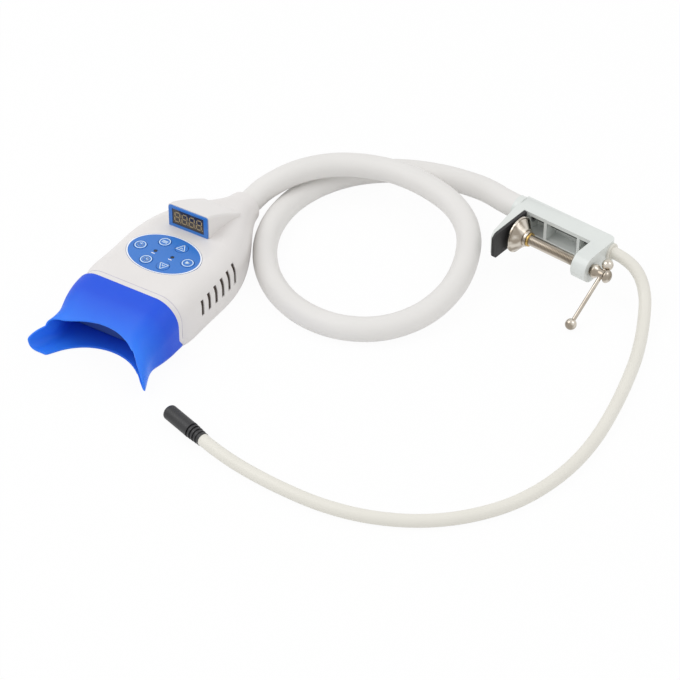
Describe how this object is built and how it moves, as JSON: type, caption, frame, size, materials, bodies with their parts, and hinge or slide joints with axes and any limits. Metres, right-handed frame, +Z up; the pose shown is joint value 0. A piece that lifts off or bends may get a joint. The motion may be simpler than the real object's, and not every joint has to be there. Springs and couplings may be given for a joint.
{
  "type": "teeth whitening lamp",
  "caption": "Desk-clamped teeth whitening lamp on a looped gooseneck arm, with a soft blue mouth shield, key panel, display hood and power cable.",
  "frame": {"origin": "where the clamp screw's axis meets the rubber face of the fixed jaw", "axes": "+X along the clamp screw from the fixed jaw towards the screw's head, +Y from the clamp's open side towards its back, +Z up from the table the lamp lies on"},
  "size_m": [0.381, 0.346, 0.0583],
  "materials": {
    "casting": "satin powder coat on cast metal",
    "jaw_rubber": "black moulded rubber",
    "steel": "plain zinc plated steel",
    "plated_steel": "nickel plated steel",
    "brass": "turned brass",
    "contact": "plated brass contact",
    "lead": "black insulated lead",
    "cable": "white flexible cable sheath",
    "connector": "black moulded plastic",
    "sleeve": "white smooth silicone sleeve",
    "core": "steel gooseneck core",
    "housing": "warm white moulded plastic, fine satin",
    "lens": "clear moulded lens",
    "board": "green circuit board",
    "emitter": "light emitter with a clear dome",
    "heat_sink": "plain extruded aluminium",
    "fan": "black moulded plastic",
    "switch": "black switch body",
    "key_panel": "blue printed film, smooth",
    "key": "lighter blue key cap",
    "indicator": "clear indicator lamp",
    "module": "black display module",
    "display_glass": "dark tinted window",
    "shield": "blue translucent silicone"
  },
  "bodies": {
    "clamp": {"clamp_frame": "casting", "jaw_pad": "jaw_rubber", "base_ferrule": "steel", "set_screw": "steel", "clamp_lead": "lead", "cable_grommet": "cable", "cable_start": "cable", "power_cable": "cable", "plug_strain_relief": "connector", "plug_body": "connector", "plug_sleeve": "contact", "plug_pin": "contact", "base_flex": "sleeve"},
    "pad": {"pad_cup": "plated_steel"},
    "screw": {"clamp_screw": "plated_steel", "screw_collar": "brass"},
    "handle": {"handle_bar": "plated_steel", "handle_balls": "plated_steel"},
    "arm": {"arm_sleeve": "sleeve", "arm_core": "core", "pan_flex": "sleeve"},
    "neck": {"neck_link": "sleeve", "tilt_flex": "sleeve"},
    "head": {"upper_shell": "housing", "lower_shell": "housing", "shell_screws": "steel", "front_bezel": "housing", "lens": "lens", "led_board": "board", "led_emitters": "emitter", "heat_sink": "heat_sink", "fan_frame": "fan", "control_board": "board", "board_screws": "steel", "tact_switches": "switch", "membrane_panel": "key_panel", "panel_leds": "indicator", "display_module": "module", "display_window": "display_glass", "display_frame": "key_panel", "neck_collar": "housing", "neck_ferrule": "steel", "neck_nut": "steel", "head_lead": "lead"},
    "fan": {"fan_rotor": "fan"},
    "shield": {"mouth_shield": "shield"},
    "key_power": {"key_power": "key"},
    "key_start": {"key_start": "key"},
    "key_mode": {"key_mode": "key"},
    "key_timer": {"key_timer": "key"},
    "key_up": {"key_up": "key"},
    "key_down": {"key_down": "key"}
  },
  "joints": [
    {"name": "pad_travel", "type": "slide", "parent": "clamp", "child": "pad", "axis": [1, 0, 0], "range_m": [-0.00125, 0.04]},
    {"name": "screw_turn", "type": "hinge", "parent": "pad", "child": "screw", "pos_m": [0, 0, 0], "axis": [1, 0, 0], "range_deg": [-360, 11520], "deforming": ["cable_start"]},
    {"name": "bar_slide", "type": "slide", "parent": "screw", "child": "handle", "axis": [0, 0.8358, 0.549], "range_m": [0, 0.034]},
    {"name": "arm_raise", "type": "hinge", "parent": "clamp", "child": "arm", "pos_m": [-0.034, 0.0265, -0.0005], "axis": [0, 1, 0], "range_deg": [0, 60], "deforming": ["base_flex"]},
    {"name": "neck_pan", "type": "hinge", "parent": "arm", "child": "neck", "pos_m": [-0.1685, -0.045, 0.0011], "axis": [0, 0, 1], "range_deg": [-50, 0], "deforming": ["pan_flex"]},
    {"name": "head_tilt", "type": "hinge", "parent": "neck", "child": "head", "pos_m": [-0.18062, -0.07976, -0.0107], "axis": [-0.9914, -0.1305, 0], "range_deg": [0, 60], "deforming": ["tilt_flex"]},
    {"name": "fan_spin", "type": "hinge", "parent": "head", "child": "fan", "pos_m": [-0.16313, -0.21261, -0.0075], "axis": [-0.1305, 0.9914, 0], "continuous": true},
    {"name": "shield_pull", "type": "slide", "parent": "head", "child": "shield", "axis": [0.1305, -0.9914, 0], "range_m": [0, 0.025]},
    {"name": "press_power", "type": "slide", "parent": "head", "child": "key_power", "axis": [0, 0, -1], "range_m": [0, 0.00035], "stiffness_N_per_m": 4000, "springref_m": -0.0001},
    {"name": "press_start", "type": "slide", "parent": "head", "child": "key_start", "axis": [0, 0, -1], "range_m": [0, 0.00035], "stiffness_N_per_m": 4000, "springref_m": -0.0001},
    {"name": "press_mode", "type": "slide", "parent": "head", "child": "key_mode", "axis": [0, 0, -1], "range_m": [0, 0.00035], "stiffness_N_per_m": 4000, "springref_m": -0.0001},
    {"name": "press_timer", "type": "slide", "parent": "head", "child": "key_timer", "axis": [0, 0, -1], "range_m": [0, 0.00035], "stiffness_N_per_m": 4000, "springref_m": -0.0001},
    {"name": "press_up", "type": "slide", "parent": "head", "child": "key_up", "axis": [0, 0, -1], "range_m": [0, 0.00035], "stiffness_N_per_m": 4000, "springref_m": -0.0001},
    {"name": "press_down", "type": "slide", "parent": "head", "child": "key_down", "axis": [0, 0, -1], "range_m": [0, 0.00035], "stiffness_N_per_m": 4000, "springref_m": -0.0001}
  ],
  "couplings": [
    {"joint": "pad_travel", "follows": "screw_turn", "m_per_rad": 0.00019894}
  ]
}
